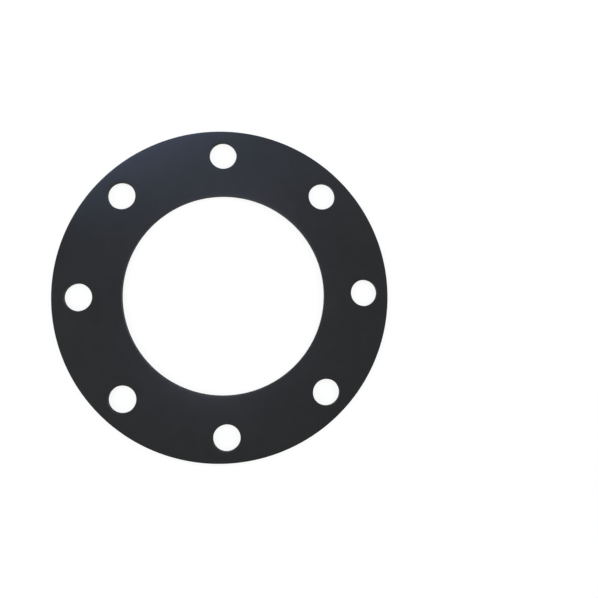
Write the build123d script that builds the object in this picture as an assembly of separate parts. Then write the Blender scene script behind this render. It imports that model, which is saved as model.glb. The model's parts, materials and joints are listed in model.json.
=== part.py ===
from build123d import *
import os

# Full-face rubber gasket for a round pipe flange, die-cut in one piece from
# flat sheet. Millimetres. It lies as it rests: Z = 0 is its lower face, +Z is
# the bore's axis and the first bolt hole lies on +Y.

# The flange that it seals
bore_diameter = 141.5
bolt_circle_diameter = 200.0
bolt_hole_diameter = 19.0
bolt_hole_count = 8
first_bolt_hole_angle = 90.0  # degrees from +X

# The rubber
sheet_thickness = 3.0
rim_land = 8.0  # left between each bolt hole and the rim
knife_bevel = 0.25  # the blade leaves it on every edge where it goes in

bolt_circle_radius = bolt_circle_diameter / 2
bolt_hole_radius = bolt_hole_diameter / 2
rim_radius = bolt_circle_radius + bolt_hole_radius + rim_land


def die_outline():
    """The flat shape that the die cuts: the rim, the bore and the ring of bolt holes."""
    with BuildSketch() as outline:
        Circle(rim_radius)
        Circle(bore_diameter / 2, mode=Mode.SUBTRACT)
        with PolarLocations(bolt_circle_radius, bolt_hole_count, first_bolt_hole_angle):
            Circle(bolt_hole_radius, mode=Mode.SUBTRACT)
    return outline.sketch


def flange_gasket():
    """The cut sheet: its walls are square, with a fine bevel on each edge of the knife's side."""
    with BuildPart() as gasket:
        add(die_outline())
        extrude(amount=sheet_thickness)
        knife_side = gasket.faces().sort_by(Axis.Z)[-1]
        chamfer(knife_side.edges(), length=knife_bevel)
    return gasket.part


os.makedirs("parts", exist_ok=True)
export_step(flange_gasket(), "parts/flange_gasket.step")
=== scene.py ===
import json
import math

import bpy
from mathutils import Matrix, Vector
from mathutils.geometry import delaunay_2d_cdt


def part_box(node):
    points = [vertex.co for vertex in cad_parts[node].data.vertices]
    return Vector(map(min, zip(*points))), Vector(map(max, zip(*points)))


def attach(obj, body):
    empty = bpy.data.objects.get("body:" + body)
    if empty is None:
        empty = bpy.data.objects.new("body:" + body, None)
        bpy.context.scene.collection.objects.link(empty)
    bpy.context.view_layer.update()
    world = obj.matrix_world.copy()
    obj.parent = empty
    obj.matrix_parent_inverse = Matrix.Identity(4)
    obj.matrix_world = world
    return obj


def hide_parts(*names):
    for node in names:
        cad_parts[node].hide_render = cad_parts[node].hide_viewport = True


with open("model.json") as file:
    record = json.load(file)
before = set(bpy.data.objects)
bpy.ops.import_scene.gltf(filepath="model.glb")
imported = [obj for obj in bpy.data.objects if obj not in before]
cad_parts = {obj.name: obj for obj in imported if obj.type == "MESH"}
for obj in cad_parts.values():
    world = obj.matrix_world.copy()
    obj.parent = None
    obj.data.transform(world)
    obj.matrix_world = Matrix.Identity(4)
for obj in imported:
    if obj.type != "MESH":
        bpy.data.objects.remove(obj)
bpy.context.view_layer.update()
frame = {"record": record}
mounts = {mount["name"]: mount for mount in frame["record"]["mounts"]}

# The gasket's radii and heights, all from the frame. Lengths are in metres throughout.
NODE = "flange_gasket"
low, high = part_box(NODE)
RIM = high.x
LOWER, UPPER = low.z, high.z
BORE = mounts["bore"]["dims"]["r_mm"] / 1000
BEVEL = (UPPER - LOWER) - mounts["bore"]["dims"]["length_mm"] / 1000  # the straight wall stops short by it
PATTERN = mounts["bolt_holes"]["dims"]
BOLT_CIRCLE = PATTERN["pcd_mm"] / 2000
BOLT_HOLE = PATTERN["hole_r_mm"] / 1000
BOLT_COUNT = PATTERN["count"]
FIRST_BOLT_HOLE = math.pi / 2  # on +Y

# What die-cutting and handling do to soft sheet, beyond the CAD model's form
ROLL_DEPTH = 0.00005  # the blade drags the skin down along each cut
ROLL_REACH = 0.0010  # this far in, the dip has faded to about a third
FOOT = 0.00005  # the cut's lower edge is hardly rounded
WAVE_HEIGHT = 0.00010  # the sheet lies nearly, not quite, flat
SLOW_WAVE_X, SLOW_WAVE_Y = 27, 23  # radians a metre: about 0.25 m from crest to crest
QUICK_WAVE = 51  # radians a metre of x + y: about 0.09 m from crest to crest
SLOW_START_X, SLOW_START_Y, QUICK_START = 0.6, -0.4, 1.9  # radians
SLOW_SHARE, QUICK_SHARE = 0.35, 0.15  # of WAVE_HEIGHT, up and down from its middle

# The mesh: segments round each cut, the arc of its lip, and the triangles between
RIM_SEGMENTS = 720
BORE_SEGMENTS = 480
HOLE_SEGMENTS = 96
LIP_STEPS = 5
COLLAR_INSETS = (0.0006, 0.0010, 0.0016, 0.0025)  # rows of quads follow each cut this far in
PITCH = 0.0016  # of the even triangles
LATTICE_GAP = 0.6 * PITCH  # kept free between the rows and the even triangles
NORMAL_STEP = 0.0001  # to either side, to measure a slope
WITHIN_BORDERS = 1  # delaunay_2d_cdt's number for triangles inside the outermost border
SAME_POINT = 1e-7  # points nearer than this count as one

# The materials. Each noise's usual range is spread over the range that it gives to tone or roughness.
NOISE_LOW, NOISE_HIGH = 0.3, 0.7

# The skin
CLOUD_SIZE, MOTTLE_SIZE, SPECK_SIZE = 0.045, 0.007, 0.0008
LINE_SIZE, GRAIN_SIZE = 0.0022, 0.0005
LINE_STRETCH = (1, 0.03, 1)  # the lines run along Y, the way that the sheet was rolled
SKIN_DARK, SKIN_LIGHT = (0.0182, 0.0191, 0.0185), (0.0214, 0.0223, 0.0217)
SPECK_TONE = (0.026, 0.027, 0.028)
SPECK_SHARE = 0.18  # of that tone, at most
SPECKS_FROM, SPECKS_TO = 0.58, 0.75  # only the noise's peaks are specks
CLOUD_ROUGHNESS = (0.225, 0.255)
LINE_ROUGHNESS = (-0.004, 0.004)
MOTTLE_ROUGHNESS = (-0.008, 0.008)
SPECK_ROUGHNESS = (-0.006, 0.012)
GRAIN_DEPTH, GRAIN_STRENGTH = 0.00002, 1.0
LINE_DEPTH, LINE_STRENGTH = 0.000006, 0.15

# The cut wall
STROKE_SIZE, PORE_SIZE = 0.0004, 0.0009
STROKE_STRETCH = (1, 1, 0.08)  # upright, the way that the blade went
CUT_DARK, CUT_LIGHT = (0.0120, 0.0125, 0.0132), (0.0200, 0.0205, 0.0212)
CUT_ROUGHNESS = (0.62, 0.82)
CUT_SPECULAR = 0.2
STROKE_DEPTH, STROKE_STRENGTH = 0.00004, 0.6
PORE_DEPTH, PORE_STRENGTH = 0.00003, 0.4

# The camera: close above the gasket and right of it, as a hand-held one with a wide lens
CAMERA_PLACE = Vector((0.0240, -0.0174, 0.3203))
CAMERA_AIM = Vector((0.0525, -0.0037, UPPER))
CAMERA_ROLL = math.radians(1.18)
CAMERA_LENS = 26.8  # millimetres
CAMERA_NEAR, CAMERA_FAR = 0.01, 20

# The studio: a dim room, a white light table and backdrop, and soft lights out of the camera's sight
TABLE_HALF = 3.0  # from its middle to its edge
TABLE_ALBEDO = 0.17
TABLE_ROUGHNESS = 0.9
TABLE_GLOW = 0.87  # with the light that falls on it, just enough for plain white
TABLE_TINT = (1.0, 1.0, 0.985)  # its lamps are a little warm, against the blue of the window
BACKDROP_RADIUS, BACKDROP_HEIGHT, BACKDROP_SIDES = 0.45, 1.2, 96
BACKDROP_GLOW = 1.05
WALLS = (0.45, 0.45, 0.46)
CEILING = (0.20, 0.20, 0.20)
WALLS_END, CEILING_STARTS = math.radians(33), math.radians(58)  # above the horizon
LIGHT_DISTANCE = 1.0
LIGHTS = {
    # name: (compass, tilt, turn, width, height, radiance)
    # compass is clockwise from +Y, tilt is from overhead and turn is about its own middle, all in degrees
    "softbox_right": (70, 62, 0, 0.9, 0.5, (3.0, 3.0, 3.0)),
    "softbox_left": (250, 62, 0, 0.9, 0.5, (3.0, 3.0, 3.0)),
    "window": (330, 40, -4, 0.64, 0.36, (0.76, 1.10, 1.92)),
    "window_wall": (11, 38, -62, 0.62, 1.25, (0.18, 0.235, 0.36)),
    "ceiling_lamp": (299, 4.5, 105, 0.17, 0.45, (2.08, 2.02, 3.05)),
}


# The gasket's form


def cuts():
    """Each cut that the die makes: its middle, radius and segments, and +1 where the rubber is inside it."""
    rings = [(Vector((0, 0)), RIM, RIM_SEGMENTS, 1), (Vector((0, 0)), BORE, BORE_SEGMENTS, -1)]
    for i in range(BOLT_COUNT):
        angle = FIRST_BOLT_HOLE + 2 * math.pi * i / BOLT_COUNT
        middle = BOLT_CIRCLE * Vector((math.cos(angle), math.sin(angle)))
        rings.append((middle, BOLT_HOLE, HOLE_SEGMENTS, -1))
    return rings


CUTS = cuts()


def inset(p, cut):
    """How far a point lies inside the rubber from one cut."""
    middle, radius, _, side = cut
    return side * (radius - (p - middle).length)


def least_inset(p):
    return min(inset(p, cut) for cut in CUTS)


def wave(p):
    """How far the sheet stands off the table at a point, from 0 to WAVE_HEIGHT."""
    slow = math.sin(SLOW_WAVE_X * p.x + SLOW_START_X) * math.cos(SLOW_WAVE_Y * p.y + SLOW_START_Y)
    quick = math.sin(QUICK_WAVE * (p.x + p.y) + QUICK_START)
    return WAVE_HEIGHT * (0.5 + SLOW_SHARE * slow + QUICK_SHARE * quick)


def upper_height(p):
    roll = sum(math.exp(-max(inset(p, cut), 0) / ROLL_REACH) for cut in CUTS)
    return UPPER + wave(p) - ROLL_DEPTH * roll


def lower_height(p):
    return LOWER + wave(p)


def face_normal(height, p, up):
    """The normal at a point of a face with this height: up is 1 on the upper face, -1 on the lower."""
    east, north = Vector((NORMAL_STEP, 0)), Vector((0, NORMAL_STEP))
    slope_x = (height(p + east) - height(p - east)) / (2 * NORMAL_STEP)
    slope_y = (height(p + north) - height(p - north)) / (2 * NORMAL_STEP)
    return Vector((-slope_x * up, -slope_y * up, up)).normalized()


# Heights and normals for a row of points round a cut, where out points out of the rubber


def on_upper_face(p, out):
    return upper_height(p), face_normal(upper_height, p, 1)


def on_lip(p, out, angle):
    """On the rounded lip, where angle is the normal's rise from level."""
    drop = BEVEL * (1 - math.sin(angle))
    return upper_height(p) - drop, Vector((*(math.cos(angle) * out), math.sin(angle)))


def on_wall_end(p, out):
    return lower_height(p) + FOOT, Vector((*out, 0))


def on_lower_face(p, out):
    return lower_height(p), Vector((0, 0, -1))


SKIN, CUT = 0, 1  # the mesh's material slots


class Sheet:
    """The mesh as it grows: points with their normals, and faces with their material."""

    def __init__(self):
        self.points, self.normals, self.faces, self.materials = [], [], [], []

    def add_point(self, x, y, z, normal):
        self.points.append((x, y, z))
        self.normals.append(normal)
        return len(self.points) - 1

    def add_face(self, corners, material):
        self.faces.append(corners)
        self.materials.append(material)

    def ring(self, cut, distance, place):
        """A row of points round a cut, at a distance into the rubber; place gives (height, normal)."""
        middle, radius, count, side = cut
        row = []
        for i in range(count):
            angle = 2 * math.pi * i / count
            outwards = Vector((math.cos(angle), math.sin(angle)))
            p = middle + (radius - side * distance) * outwards
            z, normal = place(p, side * outwards)
            row.append(self.add_point(p.x, p.y, z, normal))
        return row

    def strip(self, above, below, side, material):
        """Quads between two rows that face out of the rubber."""
        count = len(above)
        for i in range(count):
            j = (i + 1) % count
            quad = (above[i], below[i], below[j], above[j])
            self.add_face(quad if side > 0 else quad[::-1], material)


def add_wall(sheet, cut):
    """The cut wall with its rounded upper lip and its foot. Returns its first and last rows."""
    rows = [sheet.ring(cut, BEVEL, on_upper_face)]
    for step in range(1, LIP_STEPS + 1):
        angle = math.pi / 2 * (1 - step / LIP_STEPS)
        distance = BEVEL * (1 - math.cos(angle))
        rows.append(sheet.ring(cut, distance, lambda p, out: on_lip(p, out, angle)))
    rows.append(sheet.ring(cut, 0, on_wall_end))
    rows.append(sheet.ring(cut, FOOT, on_lower_face))
    side = cut[3]
    for number, (above, below) in enumerate(zip(rows, rows[1:])):
        sheet.strip(above, below, side, SKIN if number < LIP_STEPS - 1 else CUT)
    return rows[0], rows[-1]


def add_collar(sheet, cut, first):
    """Narrow rows inside a cut that carry the rolled-down skin. Returns the innermost."""
    row, side = first, cut[3]
    for distance in COLLAR_INSETS:
        inner = sheet.ring(cut, distance, on_upper_face)
        sheet.strip(inner, row, side, SKIN)
        row = inner
    return row


def lattice(margin):
    """Points of an even triangular lattice that lie more than margin inside every cut."""
    rise = PITCH * math.sqrt(3) / 2
    rows, columns = int(RIM / rise) + 1, int(RIM / PITCH) + 1
    points = []
    for row in range(-rows, rows + 1):
        for column in range(-columns, columns + 1):
            p = Vector(((column + 0.5 * (row % 2)) * PITCH, row * rise))
            if least_inset(p) > margin:
                points.append(p)
    return points


def fill_face(sheet, loops, margin, height, up):
    """Even triangles across one face, between the rows that run round the cuts at margin."""
    edge = [i for loop in loops for i in loop]
    edge_points = [Vector(sheet.points[i][:2]) for i in edge]
    borders, start = [], 0
    for loop in loops:
        count = len(loop)
        borders += [(start + i, start + (i + 1) % count) for i in range(count)]
        start += count
    inner_points = lattice(margin + LATTICE_GAP)
    inner = [sheet.add_point(p.x, p.y, height(p), face_normal(height, p, up)) for p in inner_points]
    ids = edge + inner
    points, _, triangles, origins, _, _ = delaunay_2d_cdt(
        edge_points + inner_points, borders, [], WITHIN_BORDERS, SAME_POINT
    )
    for triangle in triangles:
        middle = sum((points[i] for i in triangle), Vector((0, 0))) / 3
        if least_inset(middle) < margin:  # it spans the bore or a hole
            continue
        face = [ids[origins[i][0]] for i in triangle]
        sheet.add_face(face if up > 0 else face[::-1], SKIN)


def add_object(name, data):
    """A new object in the scene."""
    thing = bpy.data.objects.new(name, data)
    bpy.context.scene.collection.objects.link(thing)
    return thing


def add_mesh(name, points, faces, *materials):
    """A new mesh object in the scene."""
    mesh = bpy.data.meshes.new(name)
    mesh.from_pydata(points, [], faces)
    for material in materials:
        mesh.materials.append(material)
    return add_object(name, mesh)


def make_gasket():
    sheet = Sheet()
    upper_loops, lower_loops = [], []
    for cut in CUTS:
        first, last = add_wall(sheet, cut)
        upper_loops.append(add_collar(sheet, cut, first))
        lower_loops.append(last)
    fill_face(sheet, upper_loops, COLLAR_INSETS[-1], upper_height, 1)
    fill_face(sheet, lower_loops, FOOT, lower_height, -1)
    gasket = add_mesh("gasket_sheet", sheet.points, sheet.faces, make_skin(), make_cut())
    gasket.data.polygons.foreach_set("material_index", sheet.materials)
    gasket.data.shade_smooth()
    gasket.data.normals_split_custom_set_from_vertices(sheet.normals)
    return gasket


# The rubber's materials


def colour_mixer(tree):
    """A new node that mixes two colours, as its sockets: factor, colour at 0, colour at 1, result."""
    node = tree.nodes.new("ShaderNodeMix")
    node.data_type = "RGBA"
    at_0, at_1 = (s for s in node.inputs if s.type == "RGBA")
    result = next(s for s in node.outputs if s.type == "RGBA")
    return node.inputs["Factor"], at_0, at_1, result


class Nodes:
    """Short calls for a material's nodes."""

    def __init__(self, name):
        self.material = bpy.data.materials.new(name)
        self.material.use_nodes = True
        self.tree = self.material.node_tree
        self.shader = self.tree.nodes["Principled BSDF"]
        self.place = self.tree.nodes.new("ShaderNodeTexCoord").outputs["Object"]

    def link(self, source, target):
        self.tree.links.new(source, target)

    def noise(self, size, detail=2, turn=0, stretch=(1, 1, 1)):
        """Noise from 0 to 1 with features about size across, longer where stretch is under 1.

        Noises with different turns, in degrees, don't repeat each other's pattern.
        """
        mapping = self.tree.nodes.new("ShaderNodeMapping")
        mapping.inputs["Scale"].default_value = stretch
        mapping.inputs["Rotation"].default_value = (0, 0, math.radians(turn))
        texture = self.tree.nodes.new("ShaderNodeTexNoise")
        texture.inputs["Scale"].default_value = 1 / size
        texture.inputs["Detail"].default_value = detail
        self.link(self.place, mapping.inputs["Vector"])
        self.link(mapping.outputs["Vector"], texture.inputs["Vector"])
        return texture.outputs["Fac"]

    def span(self, value, low, high, start=NOISE_LOW, end=NOISE_HIGH):
        """A value between start and end, spread from low to high."""
        node = self.tree.nodes.new("ShaderNodeMapRange")
        node.inputs["From Min"].default_value = start
        node.inputs["From Max"].default_value = end
        node.inputs["To Min"].default_value = low
        node.inputs["To Max"].default_value = high
        self.link(value, node.inputs["Value"])
        return node.outputs["Result"]

    def add(self, first, *others):
        """The sum of several values."""
        total = first
        for other in others:
            node = self.tree.nodes.new("ShaderNodeMath")
            node.operation = "ADD"
            self.link(total, node.inputs[0])
            self.link(other, node.inputs[1])
            total = node.outputs[0]
        return total

    def mix(self, factor, a, b):
        """From a, which is a colour or a socket, to the colour b."""
        share, at_0, at_1, result = colour_mixer(self.tree)
        self.link(factor, share)
        if isinstance(a, tuple):
            at_0.default_value = (*a, 1)
        else:
            self.link(a, at_0)
        at_1.default_value = (*b, 1)
        return result

    def bump(self, height, depth, strength, before=None):
        """A bump of the given depth, over another bump if there is one."""
        node = self.tree.nodes.new("ShaderNodeBump")
        node.inputs["Strength"].default_value = strength
        node.inputs["Distance"].default_value = depth
        self.link(height, node.inputs["Height"])
        if before is not None:
            self.link(before, node.inputs["Normal"])
        return node.outputs["Normal"]


def make_skin():
    """The sheet's rolled face: satin black, faintly clouded, with a fine grain and faint roll lines."""
    n = Nodes("rubber_skin")
    clouds = n.noise(CLOUD_SIZE, detail=3)
    mottle = n.noise(MOTTLE_SIZE, detail=3, turn=17)
    specks = n.noise(SPECK_SIZE, detail=1, turn=31)
    lines = n.noise(LINE_SIZE, turn=8, stretch=LINE_STRETCH)
    grain = n.noise(GRAIN_SIZE, detail=3, turn=53)

    cast = n.add(n.span(clouds, 0, 0.5), n.span(mottle, 0, 0.5))  # half from each
    tone = n.mix(cast, SKIN_DARK, SKIN_LIGHT)
    tone = n.mix(n.span(specks, 0, SPECK_SHARE, SPECKS_FROM, SPECKS_TO), tone, SPECK_TONE)
    n.link(tone, n.shader.inputs["Base Color"])

    roughness = n.add(
        n.span(clouds, *CLOUD_ROUGHNESS),
        n.span(lines, *LINE_ROUGHNESS),
        n.span(mottle, *MOTTLE_ROUGHNESS),
        n.span(specks, *SPECK_ROUGHNESS),
    )
    n.link(roughness, n.shader.inputs["Roughness"])

    grained = n.bump(grain, GRAIN_DEPTH, GRAIN_STRENGTH)
    n.link(n.bump(lines, LINE_DEPTH, LINE_STRENGTH, grained), n.shader.inputs["Normal"])
    return n.material


def make_cut():
    """The cut wall: duller, with the blade's fine upright strokes."""
    n = Nodes("rubber_cut")
    strokes = n.noise(STROKE_SIZE, stretch=STROKE_STRETCH)
    pores = n.noise(PORE_SIZE)
    n.link(n.mix(n.span(strokes, 0, 1), CUT_DARK, CUT_LIGHT), n.shader.inputs["Base Color"])
    n.link(n.span(pores, *CUT_ROUGHNESS), n.shader.inputs["Roughness"])
    n.shader.inputs["Specular IOR Level"].default_value = CUT_SPECULAR
    stroked = n.bump(strokes, STROKE_DEPTH, STROKE_STRENGTH)
    n.link(n.bump(pores, PORE_DEPTH, PORE_STRENGTH, stroked), n.shader.inputs["Normal"])
    return n.material


# The studio


def glowing_material(name, grey, tint, glow):
    """A material that gives off light of its own. Returns it with its shader."""
    material = bpy.data.materials.new(name)
    material.use_nodes = True
    shader = material.node_tree.nodes["Principled BSDF"]
    shader.inputs["Base Color"].default_value = (grey, grey, grey, 1)
    shader.inputs["Emission Color"].default_value = (*tint, 1)
    shader.inputs["Emission Strength"].default_value = glow
    return material, shader


def make_floor():
    """A plain light table of opal glass."""
    material, shader = glowing_material("opal_glass", TABLE_ALBEDO, TABLE_TINT, TABLE_GLOW)
    shader.inputs["Roughness"].default_value = TABLE_ROUGHNESS
    corners = [(x * TABLE_HALF, y * TABLE_HALF, LOWER) for x, y in ((-1, -1), (1, -1), (1, 1), (-1, 1))]
    floor = add_mesh("floor", corners, [(0, 1, 2, 3)], material)


def make_camera():
    data = bpy.data.cameras.new("camera")
    data.lens = CAMERA_LENS
    data.clip_start, data.clip_end = CAMERA_NEAR, CAMERA_FAR
    forward = (CAMERA_AIM - CAMERA_PLACE).normalized()
    right = forward.cross(Vector((math.sin(CAMERA_ROLL), math.cos(CAMERA_ROLL), 0))).normalized()
    up = right.cross(forward)
    turn = Matrix((right, up, -forward)).transposed()
    camera = add_object("camera", data)
    camera.matrix_world = Matrix.Translation(CAMERA_PLACE) @ turn.to_4x4()
    bpy.context.scene.camera = camera


def make_world():
    """The dim room: pale walls all round that pass into a darker ceiling."""
    world = bpy.data.worlds.new("studio")
    world.use_nodes = True
    tree = world.node_tree
    direction = tree.nodes.new("ShaderNodeTexCoord")
    split = tree.nodes.new("ShaderNodeSeparateXYZ")
    rise = tree.nodes.new("ShaderNodeMapRange")
    rise.interpolation_type = "SMOOTHSTEP"
    rise.inputs["From Min"].default_value = math.sin(WALLS_END)
    rise.inputs["From Max"].default_value = math.sin(CEILING_STARTS)
    share, wall_colour, ceiling_colour, colour = colour_mixer(tree)
    wall_colour.default_value = (*WALLS, 1)
    ceiling_colour.default_value = (*CEILING, 1)
    tree.links.new(direction.outputs["Generated"], split.inputs[0])
    tree.links.new(split.outputs["Z"], rise.inputs["Value"])
    tree.links.new(rise.outputs["Result"], share)
    tree.links.new(colour, tree.nodes["Background"].inputs["Color"])
    bpy.context.scene.world = world


def make_backdrop():
    """A white wall that stands on the table, right round the gasket.

    Only the camera sees it: the rubber mirrors the dim room.
    """
    material, shader = glowing_material("white_backdrop", 0, (1, 1, 1), BACKDROP_GLOW)
    shader.inputs["Specular IOR Level"].default_value = 0
    count = BACKDROP_SIDES
    angles = [2 * math.pi * i / count for i in range(count)]
    points = [
        (BACKDROP_RADIUS * math.cos(a), BACKDROP_RADIUS * math.sin(a), z)
        for z in (LOWER, BACKDROP_HEIGHT)
        for a in angles
    ]
    faces = [(i, (i + 1) % count, (i + 1) % count + count, i + count) for i in range(count)]
    backdrop = add_mesh("backdrop", points, faces, material)
    backdrop.visible_diffuse = backdrop.visible_glossy = backdrop.visible_shadow = False


def make_light(name, compass, tilt, turn, width, height, radiance):
    """A rectangular soft light that faces the gasket, unseen by the camera."""
    compass, tilt, turn = math.radians(compass), math.radians(tilt), math.radians(turn)
    towards = Vector((math.sin(tilt) * math.sin(compass), math.sin(tilt) * math.cos(compass), math.cos(tilt)))
    level = Vector((math.cos(compass), -math.sin(compass), 0))
    upright = towards.cross(level)
    across = level * math.cos(turn) + upright * math.sin(turn)
    along = upright * math.cos(turn) - level * math.sin(turn)
    data = bpy.data.lights.new(name, "AREA")
    data.shape = "RECTANGLE"
    data.size, data.size_y = width, height
    peak = max(radiance)
    data.color = [c / peak for c in radiance]
    data.energy = math.pi * width * height * peak  # the power of a flat light with that radiance
    light = add_object(name, data)
    turned = Matrix((across, along, towards)).transposed().to_4x4()
    light.matrix_world = Matrix.Translation(towards * LIGHT_DISTANCE) @ turned
    light.visible_camera = False


def make_studio():
    make_floor()
    make_camera()
    make_world()
    make_backdrop()
    for name, placing in LIGHTS.items():
        make_light(name, *placing)
    bpy.context.scene.view_settings.view_transform = "Standard"


piece = make_gasket()
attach(piece, "root")
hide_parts(NODE)
make_studio()
